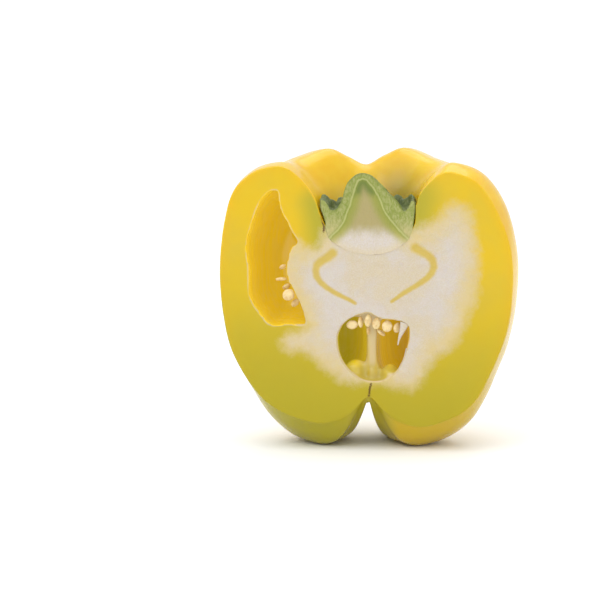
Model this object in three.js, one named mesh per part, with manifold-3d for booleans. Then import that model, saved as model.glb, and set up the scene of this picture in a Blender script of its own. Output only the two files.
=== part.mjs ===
// Half of a four-lobed bell pepper, cut lengthwise through the stalk and standing on its lobes.
// Millimetres, +Z up, the cut face towards -Y, the floor at z = 0.
import * as THREE from "three";
import Module from "manifold-3d";

// Driving sizes
const BASIN_FLOOR = 66.5; // height of the hollow that the calyx sits in
const BASIN_RADIUS = 13.6;
const CLEFT_TOP = 17.6; // height of the dimple between the lobes underneath
const WIDEST = 58; // height at which the wall stands furthest out
const GAP = 0.3; // clearance between pieces that touch
const OVERSHOOT = 3; // how far a cutting solid starts in front of the cut face

// Round the half from the right-hand cut edge (0 degrees) to the left-hand one (180 degrees):
// how far out the wall stands, where the shoulder crests and how high, how far below the crest
// the side begins, where the foot is lowest and how low, how steeply the underside rises, and how
// far the inner slope of the shoulder lies back.
const STATIONS = [
  { angle: 0, side: 43.4, crest: 24.8, top: 85.8, roll: 16, footAt: 18, foot: 8.3, rise: 1.7, slope: 0.08 },
  { angle: 14, side: 46.3, crest: 27, top: 88.2, roll: 15, footAt: 19.5, foot: 3.6, rise: 2, slope: 0.14 },
  { angle: 30, side: 45.5, crest: 27.4, top: 87.4, roll: 14, footAt: 21, foot: 0.4, rise: 2.4, slope: 0.2 },
  { angle: 50, side: 45.2, crest: 27.5, top: 88.8, roll: 13, footAt: 24, foot: -0.4, rise: 2.6, slope: 0.26 },
  { angle: 70, side: 46.2, crest: 28, top: 91.2, roll: 13, footAt: 27, foot: -0.5, rise: 3, slope: 0.26 },
  { angle: 84, side: 44.2, crest: 27, top: 88.8, roll: 13, footAt: 25, foot: 2, rise: 4.4, slope: 0.26 },
  { angle: 96, side: 40.6, crest: 25, top: 86.2, roll: 12, footAt: 21, foot: 13, rise: 4.6, slope: 0.26 },
  { angle: 108, side: 44, crest: 27, top: 88.5, roll: 13, footAt: 25, foot: 2, rise: 4.4, slope: 0.26 },
  { angle: 122, side: 46.4, crest: 28, top: 91.1, roll: 13, footAt: 27, foot: -0.5, rise: 3, slope: 0.26 },
  { angle: 140, side: 45.3, crest: 28, top: 89.4, roll: 12, footAt: 24, foot: -0.4, rise: 2.6, slope: 0.26 },
  { angle: 154, side: 44.8, crest: 28.5, top: 87.9, roll: 11.5, footAt: 21, foot: 0.8, rise: 2.2, slope: 0.26 },
  { angle: 168, side: 46.1, crest: 29, top: 88.2, roll: 11, footAt: 19, foot: 4.4, rise: 1.9, slope: 0.26 },
  { angle: 180, side: 45.6, crest: 29, top: 87.4, roll: 11, footAt: 17.5, foot: 9, rise: 1.6, slope: 0.26 },
];
const COLUMNS = 48; // steps round the half
const STEPS_PER_SPAN = 3; // steps between two points of a meridian

// Side chamber, as it is cut open: across (x) and up (z)
const SIDE_CHAMBER = [
  [-29.6, 80.0],
  [-27.9, 79.6],
  [-27.5, 76.1],
  [-26.4, 72.6],
  [-25.0, 70.4],
  [-23.7, 67.6],
  [-21.8, 64.2],
  [-23.7, 62.8],
  [-24.7, 59.7],
  [-25.3, 56.3],
  [-24.8, 52.8],
  [-23.4, 50.1],
  [-21.9, 47.3],
  [-20.6, 44.1],
  [-19.7, 41.2],
  [-19.5, 39.1],
  [-22.0, 39.0],
  [-25.1, 39.2],
  [-28.4, 38.7],
  [-31.0, 39.3],
  [-32.9, 41.8],
  [-35.0, 44.5],
  [-36.3, 47.6],
  [-36.8, 51.6],
  [-36.8, 56.2],
  [-37.3, 60.2],
  [-37.0, 65.4],
  [-35.4, 71.0],
  [-34.3, 74.5],
  [-32.1, 78.0],
];
// Mouth shared by the two middle chambers
const MIDDLE_MOUTH = [
  [-0.4, 42.9],
  [-4.4, 41.7],
  [-7.7, 39.5],
  [-9.4, 36.4],
  [-9.7, 33.7],
  [-9.0, 30.0],
  [-7.4, 26.7],
  [-4.7, 23.7],
  [-1.7, 22.0],
  [1.6, 21.6],
  [5.0, 22.1],
  [7.6, 23.9],
  [9.6, 26.6],
  [11.2, 30.6],
  [12.3, 35.3],
  [12.1, 38.8],
  [9.5, 40.3],
  [6.4, 40.8],
  [3.4, 41.2],
  [1.2, 42.2],
];
const SEPTUM_RECESS = 4.2; // how far the rib between the chambers stands behind the cut

// The calyx and the stub of the stalk: radius and height of the ring at each level
const CALYX_RIM = 14.0;
const CALYX_RIM_HEIGHT = 76.4;
const STALK_LEAN = -2.0; // how far the stub leans to the left at its top
const STALK_TOP = 85.6;

const SEED_LENGTH = 3.9;
const SEED_WIDTH = 2.7;
const SEED_THICKNESS = 1.3;

const SKIN_YELLOW = 0xe2b32c;
const CALYX_GREEN = 0x6f8f3c;
const SEED_CREAM = 0xe3cc9c;

// Hermite interpolation of one field of a row of stations
function stationValue(field, angle) {
  let i = 0;
  while (i < STATIONS.length - 2 && angle > STATIONS[i + 1].angle) {
    i += 1;
  }
  const here = STATIONS[i];
  const next = STATIONS[i + 1];
  const before = STATIONS[Math.max(i - 1, 0)];
  const after = STATIONS[Math.min(i + 2, STATIONS.length - 1)];
  const span = next.angle - here.angle;
  const t = (angle - here.angle) / span;
  const slopeHere = ((next[field] - before[field]) / (next.angle - before.angle)) * span;
  const slopeNext = ((after[field] - here[field]) / (after.angle - here.angle)) * span;
  const t2 = t * t;
  const t3 = t2 * t;
  return (
    (2 * t3 - 3 * t2 + 1) * here[field] +
    (t3 - 2 * t2 + t) * slopeHere +
    (3 * t2 - 2 * t3) * next[field] +
    (t3 - t2) * slopeNext
  );
}

// One meridian of the skin, from the middle of the basin over the shoulder and under to the dimple
function meridian(angle) {
  const at = (field) => stationValue(field, angle);
  const side = at("side");
  const crest = at("crest");
  const top = at("top");
  const footAt = at("footAt");
  const foot = at("foot");
  const innerSlope = BASIN_RADIUS + at("slope") * (crest - BASIN_RADIUS);
  const curve = new THREE.SplineCurve([
    new THREE.Vector2(0, BASIN_FLOOR),
    new THREE.Vector2(BASIN_RADIUS * 0.72, BASIN_FLOOR + 0.3),
    new THREE.Vector2(BASIN_RADIUS, BASIN_FLOOR + 3.4),
    new THREE.Vector2(innerSlope, BASIN_FLOOR + 0.6 * (top - BASIN_FLOOR)),
    new THREE.Vector2(crest - 5.2, top - 1.5),
    new THREE.Vector2(crest, top),
    new THREE.Vector2(crest + 0.46 * (side - crest), top - 0.25 * at("roll")),
    new THREE.Vector2(side - 2.9, top - at("roll")),
    new THREE.Vector2(side, WIDEST),
    new THREE.Vector2(side - 0.9, WIDEST - 16),
    new THREE.Vector2(side - 4.6, WIDEST - 30),
    new THREE.Vector2(footAt + 0.5 * (side - footAt), foot + 6.0),
    new THREE.Vector2(footAt, foot),
    new THREE.Vector2(0.5 * footAt, foot + at("rise")),
    new THREE.Vector2(2.3, CLEFT_TOP - 2.6),
    new THREE.Vector2(0, CLEFT_TOP),
  ]);
  return curve.getPoints(15 * STEPS_PER_SPAN);
}

function geometryFrom(points, triangles) {
  const geometry = new THREE.BufferGeometry();
  geometry.setAttribute("position", new THREE.Float32BufferAttribute(points.flat(), 3));
  geometry.setIndex(triangles.flat());
  return geometry;
}

// Half body of revolution whose meridian changes with the angle, closed by its flat cut face.
// Every meridian starts and ends on the axis and has the same number of points.
function halfBody(meridianAt, columns, lean = () => 0) {
  const points = [];
  const triangles = [];
  const rows = meridianAt(0).length - 1;
  const columnStart = (i) => 2 + i * (rows - 1);
  for (let i = 0; i <= columns; i += 1) {
    const angle = (180 * i) / columns;
    const turn = (Math.PI * i) / columns;
    const line = meridianAt(angle);
    if (i === 0) {
      points.push([lean(line[0].y), 0, line[0].y], [lean(line[rows].y), 0, line[rows].y]);
    }
    for (let j = 1; j < rows; j += 1) {
      const p = line[j];
      const y = i === columns ? 0 : p.x * Math.sin(turn);
      points.push([p.x * Math.cos(turn) + lean(p.y), y, p.y]);
    }
  }
  for (let i = 0; i < columns; i += 1) {
    const a = columnStart(i);
    const b = columnStart(i + 1);
    triangles.push([0, a, b]);
    for (let j = 0; j < rows - 2; j += 1) {
      triangles.push([a + j, a + j + 1, b + j], [b + j, a + j + 1, b + j + 1]);
    }
    triangles.push([a + rows - 2, 1, b + rows - 2]);
  }
  const rim = [0];
  for (let j = 0; j < rows - 1; j += 1) {
    rim.push(columnStart(0) + j);
  }
  rim.push(1);
  for (let j = rows - 2; j >= 0; j -= 1) {
    rim.push(columnStart(columns) + j);
  }
  const outline = rim.map((k) => new THREE.Vector2(points[k][0], points[k][2]));
  for (const [a, b, c] of THREE.ShapeUtils.triangulateShape(outline, [])) {
    triangles.push([rim[a], rim[b], rim[c]]);
  }
  return geometryFrom(points, orient(points, triangles));
}

// The skin faces outwards as written; the cut face is turned to face -Y whichever way it came
function orient(points, triangles) {
  return triangles.map(([a, b, c]) => {
    const flat = points[a][1] === 0 && points[b][1] === 0 && points[c][1] === 0;
    if (!flat) {
      return [a, b, c];
    }
    const abx = points[b][0] - points[a][0];
    const abz = points[b][2] - points[a][2];
    const acx = points[c][0] - points[a][0];
    const acz = points[c][2] - points[a][2];
    return abz * acx - abx * acz < 0 ? [a, b, c] : [a, c, b];
  });
}

// Closed body through a row of rings from front to back, with the same number of points in each,
// capped at both ends
function loft(rings) {
  const count = rings[0].length;
  const last = (rings.length - 1) * count;
  const points = rings.flat();
  const outlineOf = (ring) => ring.map(([x, , z]) => new THREE.Vector2(x, z));
  const clockwise = THREE.ShapeUtils.isClockWise(outlineOf(rings[0]));
  const triangles = [];
  for (let i = 0; i + 1 < rings.length; i += 1) {
    for (let j = 0; j < count; j += 1) {
      const a = i * count + j;
      const b = i * count + ((j + 1) % count);
      const sides = [
        [a, b, a + count],
        [b, b + count, a + count],
      ];
      triangles.push(...(clockwise ? sides : sides.map(([p, q, r]) => [p, r, q])));
    }
  }
  const front = THREE.ShapeUtils.triangulateShape(outlineOf(rings[0]), []);
  const back = THREE.ShapeUtils.triangulateShape(outlineOf(rings[rings.length - 1]), []);
  triangles.push(...front);
  triangles.push(...back.map(([p, q, r]) => [last + p, last + r, last + q]));
  return geometryFrom(points, triangles);
}

// Smooth closed outline through a few points
function smoothRing(outline, count) {
  const curve = new THREE.CatmullRomCurve3(
    outline.map(([x, z]) => new THREE.Vector3(x, 0, z)),
    true,
    "catmullrom",
    0.5,
  );
  return curve.getPoints(count).slice(0, count);
}

// A hollow that runs back from the cut face: each level moves and scales the mouth's ring
function hollow(mouth, levels, count) {
  const ring = smoothRing(mouth, count);
  const middle = ring.reduce((sum, p) => sum.add(p), new THREE.Vector3()).divideScalar(count);
  const rings = levels.map(({ y, wide, high, x = 0, z = 0 }) =>
    ring.map((p) => [
      middle.x + x + (p.x - middle.x) * wide,
      y,
      middle.z + z + (p.z - middle.z) * high,
    ]),
  );
  return loft(rings);
}

// One of the two middle chambers, an oval tunnel that widens into the lobe behind
function middleChamber(levels, count) {
  const rings = levels.map(({ y, left, right, low, high }) => {
    const ring = [];
    for (let k = 0; k < count; k += 1) {
      const turn = (-2 * Math.PI * k) / count;
      const c = Math.cos(turn);
      const s = Math.sin(turn);
      const squareness = 0.62;
      const across = Math.sign(c) * Math.abs(c) ** squareness;
      const up = Math.sign(s) * Math.abs(s) ** squareness;
      const x = (left + right) / 2 + ((right - left) / 2) * across;
      const z = (low + high) / 2 + ((high - low) / 2) * up;
      ring.push([x, y, z]);
    }
    return ring;
  });
  return loft(rings);
}

// Calyx with its stub: a bell that swells to a lobed rim, with the stalk's cut stub on top and a
// cone rooted in the flesh below
function calyxMeridian(grow) {
  return (angle) => {
    const turn = THREE.MathUtils.degToRad(angle);
    const wave = -Math.cos(turn * 5 + 0.5);
    const rim = CALYX_RIM + 0.8 * wave + grow;
    const lift = 0.6 * wave;
    return [
      new THREE.Vector2(0, STALK_TOP + grow),
      new THREE.Vector2(2.0 + grow, 85.1 + grow),
      new THREE.Vector2(3.3 + grow, 84.1 + grow),
      new THREE.Vector2(4.6 + grow, 82.8 + grow),
      new THREE.Vector2(5.9 + grow, 81.0 + grow),
      new THREE.Vector2(7.2 + grow, 78.9 + grow),
      new THREE.Vector2(8.7 + grow, 76.4 + grow),
      new THREE.Vector2(10.2, 74.4 + grow),
      new THREE.Vector2(rim - 2.6, CALYX_RIM_HEIGHT - 2.0 + grow),
      new THREE.Vector2(rim - 0.9 - 2 * grow, CALYX_RIM_HEIGHT + 0.6 + lift + grow),
      new THREE.Vector2(rim, CALYX_RIM_HEIGHT + 0.5 + lift),
      new THREE.Vector2(rim, CALYX_RIM_HEIGHT - 1.6),
      new THREE.Vector2(13.4 + grow, 71.0),
      new THREE.Vector2(12.9 + grow, 67.6),
      new THREE.Vector2(11.2 + grow, 64.6 - grow),
      new THREE.Vector2(6.0, 61.6 - grow),
      new THREE.Vector2(0, 60.6 - grow),
    ];
  };
}

function calyxBody(grow) {
  const lean = (z) => STALK_LEAN * THREE.MathUtils.smoothstep(z, 76, 83);
  return halfBody(calyxMeridian(grow), 30, lean);
}

// A flat teardrop seed: a squashed sphere drawn out to a blunt beak at one end
function seedBody({ x, y, z, roll, turn, size, plump }) {
  const geometry = new THREE.SphereGeometry(1, 10, 8);
  geometry.deleteAttribute("uv");
  geometry.deleteAttribute("normal");
  const position = geometry.getAttribute("position");
  for (let i = 0; i < position.count; i += 1) {
    const up = position.getY(i);
    const beak = 1 - 0.3 * Math.max(up, 0) ** 2;
    position.setXYZ(
      i,
      (position.getX(i) * beak * plump * SEED_WIDTH) / 2,
      (position.getZ(i) * beak * SEED_THICKNESS) / 2,
      (up * SEED_LENGTH) / 2,
    );
  }
  geometry.scale(-size, size, size);
  geometry.rotateZ(THREE.MathUtils.degToRad(turn));
  geometry.rotateY(THREE.MathUtils.degToRad(roll));
  geometry.translate(x, y, z);
  return geometry;
}

const { Manifold, Mesh } = await (async () => {
  const kernel = await Module();
  kernel.setup();
  return kernel;
})();

function toSolid(geometry) {
  const position = geometry.getAttribute("position");
  const mesh = new Mesh({
    numProp: 3,
    vertProperties: new Float32Array(position.array),
    triVerts: new Uint32Array(geometry.getIndex().array),
  });
  mesh.merge();
  return new Manifold(mesh);
}

function toGeometry(solid) {
  const mesh = solid.getMesh();
  const geometry = new THREE.BufferGeometry();
  geometry.setAttribute("position", new THREE.Float32BufferAttribute(mesh.vertProperties, 3));
  geometry.setIndex(Array.from(mesh.triVerts));
  return geometry;
}

function box(x0, x1, y0, y1, z0, z1) {
  const geometry = new THREE.BoxGeometry(x1 - x0, y1 - y0, z1 - z0);
  geometry.translate((x0 + x1) / 2, (y0 + y1) / 2, (z0 + z1) / 2);
  return toSolid(geometry);
}

// Skin, wall, ribs and white core grew as one piece; the chambers are cut out of it
function fleshBody() {
  const outside = toSolid(halfBody(meridian, COLUMNS));
  const chambers = [
    hollow(
      SIDE_CHAMBER,
      [
        { y: -OVERSHOOT, wide: 1, high: 1 },
        { y: 0, wide: 1, high: 1 },
        { y: 6, wide: 1.04, high: 1.0, x: 0.2, z: -0.5 },
        { y: 13, wide: 1.02, high: 0.92, x: 1.2, z: -1.5 },
        { y: 19, wide: 0.82, high: 0.76, x: 2.6, z: -2.0 },
        { y: 22.5, wide: 0.45, high: 0.45, x: 3.6, z: -2.4 },
      ],
      60,
    ),
    hollow(
      MIDDLE_MOUTH,
      [
        { y: -OVERSHOOT, wide: 1, high: 1 },
        { y: 0, wide: 1, high: 1 },
        { y: SEPTUM_RECESS, wide: 0.97, high: 0.97 },
      ],
      32,
    ),
    middleChamber(
      [
        { y: SEPTUM_RECESS - 1.7, left: -8.9, right: -0.8, low: 24.0, high: 40.0 },
        { y: 9, left: -11.6, right: -1.0, low: 22.0, high: 43.0 },
        { y: 16, left: -15.8, right: -1.6, low: 20.4, high: 45.0 },
        { y: 24, left: -19.0, right: -2.6, low: 19.8, high: 46.0 },
        { y: 30, left: -18.4, right: -3.6, low: 21.0, high: 45.0 },
        { y: 34, left: -15.4, right: -6.0, low: 25.0, high: 41.0 },
      ],
      28,
    ),
    middleChamber(
      [
        { y: SEPTUM_RECESS - 1.7, left: 2.0, right: 11.2, low: 24.2, high: 39.8 },
        { y: 9, left: 2.2, right: 13.8, low: 22.2, high: 43.0 },
        { y: 16, left: 2.8, right: 17.2, low: 20.6, high: 45.0 },
        { y: 24, left: 3.6, right: 20.4, low: 19.8, high: 46.0 },
        { y: 30, left: 4.6, right: 19.6, low: 21.0, high: 45.0 },
        { y: 34, left: 7.0, right: 16.4, low: 25.0, high: 41.0 },
      ],
      28,
    ),
  ];
  let solid = outside;
  for (const chamber of chambers) {
    solid = solid.subtract(toSolid(chamber));
  }
  solid = solid.subtract(toSolid(calyxBody(GAP)));
  // the lobes rest on small flats
  return solid.subtract(box(-60, 60, -10, 60, -10, 0));
}

const SIDE_SEEDS = [
  { name: "seed_side_1", x: -26.6, y: 2.6, z: 56.4, roll: 60, turn: 30, size: 0.58, plump: 1.0 },
  { name: "seed_side_2", x: -27.0, y: 1.9, z: 52.7, roll: 86, turn: 72, size: 0.9, plump: 1.0 },
  { name: "seed_side_3", x: -25.5, y: 3.6, z: 50.2, roll: 60, turn: 40, size: 0.72, plump: 1.1 },
  { name: "seed_side_4", x: -24.7, y: 1.8, z: 47.9, roll: 40, turn: 4, size: 0.98, plump: 1.36 },
  { name: "seed_side_5", x: -22.8, y: 3.9, z: 45.2, roll: 40, turn: 30, size: 0.8, plump: 1.0 },
];
const MIDDLE_SEEDS = [
  { name: "seed_middle_1", x: -5.15, y: 2.1, z: 38.8, roll: 84, turn: 8, size: 0.96, plump: 1.1 },
  { name: "seed_middle_2", x: -2.6, y: 1.8, z: 39.8, roll: -4, turn: 62, size: 0.92, plump: 1.0 },
  { name: "seed_middle_3", x: -0.3, y: 1.7, z: 40.2, roll: 2, turn: 44, size: 1.0, plump: 1.0 },
  { name: "seed_middle_4", x: 2.2, y: 1.7, z: 39.4, roll: 6, turn: 18, size: 0.92, plump: 1.05 },
  { name: "seed_middle_5", x: 5.5, y: 1.8, z: 38.6, roll: 3, turn: 12, size: 0.96, plump: 1.25 },
  { name: "seed_middle_6", x: 8.6, y: 2.0, z: 38.1, roll: 10, turn: 20, size: 0.84, plump: 1.1 },
  { name: "seed_middle_7", x: 3.6, y: 2.9, z: 36.4, roll: -52, turn: 66, size: 0.8, plump: 0.9 },
  { name: "seed_middle_8", x: -0.3, y: 3.0, z: 36.9, roll: -2, turn: 60, size: 0.66, plump: 0.9 },
];

function material(color, roughness) {
  return new THREE.MeshStandardMaterial({ color, roughness, metalness: 0 });
}

function named(name, geometry, look) {
  const mesh = new THREE.Mesh(geometry, look);
  mesh.name = name;
  return mesh;
}

const fleshGeometry = toGeometry(fleshBody());
fleshGeometry.computeBoundingBox();
const bounds = fleshGeometry.boundingBox;
// the origin goes to the middle of the footprint
const shiftX = -(bounds.min.x + bounds.max.x) / 2;
const shiftY = -(bounds.min.y + bounds.max.y) / 2;

const pepper = new THREE.Group();
pepper.name = "bell_pepper_half";
pepper.add(named("flesh", fleshGeometry, material(SKIN_YELLOW, 0.35)));
pepper.add(named("calyx", calyxBody(0), material(CALYX_GREEN, 0.6)));
for (const seed of [...SIDE_SEEDS, ...MIDDLE_SEEDS]) {
  pepper.add(named(seed.name, seedBody(seed), material(SEED_CREAM, 0.5)));
}
for (const mesh of pepper.children) {
  mesh.geometry.translate(shiftX, shiftY, 0);
}

export default pepper;
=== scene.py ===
import math
import bmesh
import bpy
import numpy as np
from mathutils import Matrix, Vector
from mathutils.bvhtree import BVHTree


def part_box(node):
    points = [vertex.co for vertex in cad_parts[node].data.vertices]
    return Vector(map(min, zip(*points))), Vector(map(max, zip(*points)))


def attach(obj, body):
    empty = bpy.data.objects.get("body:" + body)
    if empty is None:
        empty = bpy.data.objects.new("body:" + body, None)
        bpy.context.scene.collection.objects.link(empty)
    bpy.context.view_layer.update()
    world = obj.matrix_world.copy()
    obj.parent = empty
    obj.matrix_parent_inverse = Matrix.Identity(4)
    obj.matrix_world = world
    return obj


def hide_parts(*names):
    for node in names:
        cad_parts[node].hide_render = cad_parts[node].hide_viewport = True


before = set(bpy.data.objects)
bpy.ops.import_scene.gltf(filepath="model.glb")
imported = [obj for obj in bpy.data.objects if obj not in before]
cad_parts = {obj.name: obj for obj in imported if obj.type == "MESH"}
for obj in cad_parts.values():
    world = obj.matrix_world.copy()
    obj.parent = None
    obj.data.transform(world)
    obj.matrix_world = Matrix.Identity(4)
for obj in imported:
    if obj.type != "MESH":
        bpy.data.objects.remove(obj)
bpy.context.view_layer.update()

mm = 0.001

# how the half grew: angle round from the right cut edge, then how far out the side stands,
# where the shoulder crests, how high, how far it rolls off, where the foot is and how low,
# how the underside rises and how far the shoulder's inner slope lies back
growth = {
    "angle": [0, 14, 30, 50, 70, 84, 96, 108, 122, 140, 154, 168, 180],
    "side": [43.4, 46.3, 45.5, 45.2, 46.2, 44.2, 40.6, 44, 46.4, 45.3, 44.8, 46.1, 45.6],
    "crest": [24.8, 27, 27.4, 27.5, 28, 27, 25, 27, 28, 28, 28.5, 29, 29],
    "top": [85.8, 88.2, 87.4, 88.8, 91.2, 88.8, 86.2, 88.5, 91.1, 89.4, 87.9, 88.2, 87.4],
    "roll": [16, 15, 14, 13, 13, 13, 12, 13, 13, 12, 11.5, 11, 11],
    "footAt": [18, 19.5, 21, 24, 27, 25, 21, 25, 27, 24, 21, 19, 17.5],
    "foot": [8.3, 3.6, 0.4, -0.4, -0.5, 2, 13, 2, -0.5, -0.4, 0.8, 4.4, 9],
    "rise": [1.7, 2, 2.4, 2.6, 3, 4.4, 4.6, 4.4, 3, 2.6, 2.2, 1.9, 1.6],
    "slope": [0.08, 0.14, 0.2, 0.26, 0.26, 0.26, 0.26, 0.26, 0.26, 0.26, 0.26, 0.26, 0.26],
    "basinFloor": 66.5, "basinRadius": 13.6, "cleftTop": 17.6, "widest": 58.0,
}


def smoothStep(low, high, value):
    t = np.clip((value - low) / (high - low), 0, 1)
    return t * t * (3 - 2 * t)


def speckle(ix, iy, iz, seed):
    h = (ix * 374761393 + iy * 668265263 + iz * 1013904223 + seed * 974634777) & 0xFFFFFFFF
    h = ((h ^ (h >> 13)) * 1274126177) & 0xFFFFFFFF
    return ((h ^ (h >> 16)) & 0xFFFF) / 65535.0


def lumps(points, size, seed):
    # smooth random lumps about size mm across, from -1 to 1
    p = points / size + 100.0
    cell = np.floor(p).astype(np.int64)
    f = p - cell
    f = f * f * (3 - 2 * f)
    total = np.zeros(len(points))
    for dx in (0, 1):
        for dy in (0, 1):
            for dz in (0, 1):
                weight = (f[:, 0] if dx else 1 - f[:, 0])
                weight = weight * (f[:, 1] if dy else 1 - f[:, 1])
                weight = weight * (f[:, 2] if dz else 1 - f[:, 2])
                total += weight * speckle(cell[:, 0] + dx, cell[:, 1] + dy, cell[:, 2] + dz, seed)
    return total * 2 - 1


def grain(points, size, seed, layers=3):
    return sum(lumps(points, size / 2 ** k, seed + k) / 1.7 ** k for k in range(layers)) / 1.6


def fieldAt(name, angle):
    # smooth value of one row of the growth table at each angle
    at = np.array(growth["angle"], float)
    values = np.array(growth[name], float)
    i = np.clip(np.searchsorted(at, angle, side="left") - 1, 0, len(at) - 2)
    before = np.maximum(i - 1, 0)
    after = np.minimum(i + 2, len(at) - 1)
    span = at[i + 1] - at[i]
    t = (angle - at[i]) / span
    slopeHere = (values[i + 1] - values[before]) / (at[i + 1] - at[before]) * span
    slopeNext = (values[after] - values[i]) / (at[after] - at[i]) * span
    return ((2 * t ** 3 - 3 * t ** 2 + 1) * values[i] + (t ** 3 - 2 * t ** 2 + t) * slopeHere
            + (3 * t ** 2 - 2 * t ** 3) * values[i + 1] + (t ** 3 - t ** 2) * slopeNext)


def alongSpline(control, steps):
    # control is (lines, points, 2), the curve runs through every point
    count = control.shape[-2]
    t = np.linspace(0, count - 1, (count - 1) * steps + 1)
    i = np.minimum(t.astype(int), count - 2)
    f = (t - i)[:, None]
    p0 = control[:, np.maximum(i - 1, 0)]
    p1 = control[:, i]
    p2 = control[:, i + 1]
    p3 = control[:, np.minimum(i + 2, count - 1)]
    v0, v1 = (p2 - p0) / 2, (p3 - p1) / 2
    return (2 * p1 - 2 * p2 + v0 + v1) * f ** 3 + (3 * p2 - 3 * p1 - 2 * v0 - v1) * f ** 2 + v0 * f + p1


def closedRing(points, count):
    # smooth closed outline through a few points
    ring = np.array(points, float)
    wrapped = np.concatenate([ring[-1:], ring, ring[:2]])
    steps = 24
    curve = alongSpline(wrapped[None], steps)[0][steps:-steps]
    lengths = np.concatenate([[0], np.cumsum(np.linalg.norm(np.diff(curve, axis=0), axis=1))])
    want = np.linspace(0, lengths[-1], count, endpoint=False)
    return np.stack([np.interp(want, lengths, curve[:, k]) for k in (0, 1)], axis=1)


def meshFrom(name, points, faces):
    mesh = bpy.data.meshes.new(name)
    mesh.from_pydata([tuple(p) for p in points], [], [tuple(f) for f in faces])
    mesh.validate()
    mesh.update()
    piece = bpy.data.objects.new(name, mesh)
    bpy.context.scene.collection.objects.link(piece)
    return piece


def gridFaces(rows, columns, start, closed=False):
    faces = []
    for i in range(rows - 1):
        for j in range(columns if closed else columns - 1):
            a = start + i * columns + j
            b = start + i * columns + (j + 1) % columns
            faces.append((a, b, b + columns, a + columns))
    return faces


def turnedHalf(name, lines, angles, lean=None):
    # lines (angles, steps, 2) hold radius and height from top to bottom, the flat side faces -Y
    columns, rows = lines.shape[:2]
    turn = np.radians(angles)[:, None]
    y = lines[..., 0] * np.sin(turn)
    y[0] = y[-1] = 0
    cloud = np.stack([lines[..., 0] * np.cos(turn), y, lines[..., 1]], axis=-1)
    if lean is not None:
        cloud[..., 0] += lean(cloud[..., 2])
    inner = cloud[:, 1:-1].reshape(-1, 3)
    points = np.concatenate([cloud[:1, 0], cloud[:1, -1], inner])
    span = rows - 2
    faces = []
    for i in range(columns - 1):
        a, b = 2 + i * span, 2 + (i + 1) * span
        faces.append((0, a, b))
        faces.extend((a + j, a + j + 1, b + j + 1, b + j) for j in range(span - 1))
        faces.append((a + span - 1, 1, b + span - 1))
    first, last = 2, 2 + (columns - 1) * span
    rim = [0] + [last + j for j in range(span)] + [1] + [first + j for j in reversed(range(span))]
    faces.append(tuple(rim))
    return meshFrom(name, points, faces)


def tunnel(name, rings):
    # closed body through rings (levels, points, 3), the first in front
    levels, count = rings.shape[:2]
    faces = gridFaces(levels, count, 0, closed=True)
    faces.append(tuple(range(count - 1, -1, -1)))
    faces.append(tuple((levels - 1) * count + j for j in range(count)))
    return meshFrom(name, rings.reshape(-1, 3), faces)


def facingOut(piece):
    bm = bmesh.new()
    bm.from_mesh(piece.data)
    bmesh.ops.triangulate(bm, faces=[f for f in bm.faces if len(f.verts) > 4])
    bmesh.ops.recalc_face_normals(bm, faces=bm.faces)
    bm.to_mesh(piece.data)
    bm.free()
    return piece


def bake(piece):
    # apply every modifier and keep the result as the piece's own mesh
    depsgraph = bpy.context.evaluated_depsgraph_get()
    mesh = bpy.data.meshes.new_from_object(piece.evaluated_get(depsgraph))
    old = piece.data
    piece.modifiers.clear()
    piece.data = mesh
    bpy.data.meshes.remove(old)
    return piece


def combine(piece, tools, how):
    for tool in tools:
        step = piece.modifiers.new(how, "BOOLEAN")
        step.operation = how
        step.solver = "MANIFOLD"
        step.object = tool
        bake(piece)
    for tool in tools:
        bpy.data.objects.remove(tool)
    return piece


def remeshed(piece, size, smoothing):
    step = piece.modifiers.new("even", "REMESH")
    step.mode = "VOXEL"
    step.voxel_size = size
    step.adaptivity = 0
    step = piece.modifiers.new("soften", "SMOOTH")
    step.factor = 0.5
    step.iterations = smoothing
    return bake(piece)


def readPoints(mesh, what="co"):
    data = np.zeros(len(mesh.vertices) * 3)
    mesh.vertices.foreach_get(what, data)
    return data.reshape(-1, 3)


def writePoints(mesh, points):
    mesh.vertices.foreach_set("co", points.ravel())
    mesh.update()


def keepField(mesh, name, values):
    field = mesh.attributes.new(name, "FLOAT", "POINT")
    field.data.foreach_set("value", np.asarray(values, np.float32))


def reachOf(points2, line):
    # distance from points (x, z) to a line of straight stretches, and how far along it
    best = np.full(len(points2), 1e9)
    where = np.zeros(len(points2))
    line = np.array(line, float)
    for k in range(len(line) - 1):
        a, b = line[k], line[k + 1]
        t = np.clip(((points2 - a) @ (b - a)) / max((b - a) @ (b - a), 1e-9), 0, 1)
        d = np.linalg.norm(points2 - (a + t[:, None] * (b - a)), axis=1)
        where = np.where(d < best, (k + t) / (len(line) - 1), where)
        best = np.minimum(best, d)
    return best, where


def insideOf(points2, outline):
    inside = np.zeros(len(points2), bool)
    outline = np.array(outline, float)
    x, z = points2[:, 0], points2[:, 1]
    for (x1, z1), (x2, z2) in zip(outline, np.roll(outline, -1, axis=0)):
        if z1 != z2:
            crosses = (z1 > z) != (z2 > z)
            inside ^= crosses & (x < (x2 - x1) * (z - z1) / (z2 - z1) + x1)
    return inside


def signedReach(points2, outline):
    closed = np.concatenate([outline, outline[:1]])
    distance, _ = reachOf(points2, closed)
    return np.where(insideOf(points2, outline), distance, -distance)


def srgb(red, green, blue):
    shares = [c / 255 for c in (red, green, blue)]
    linear = [((c + 0.055) / 1.055) ** 2.4 if c > 0.04 else c / 12.92 for c in shares]
    return (*linear, 1.0)


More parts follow.
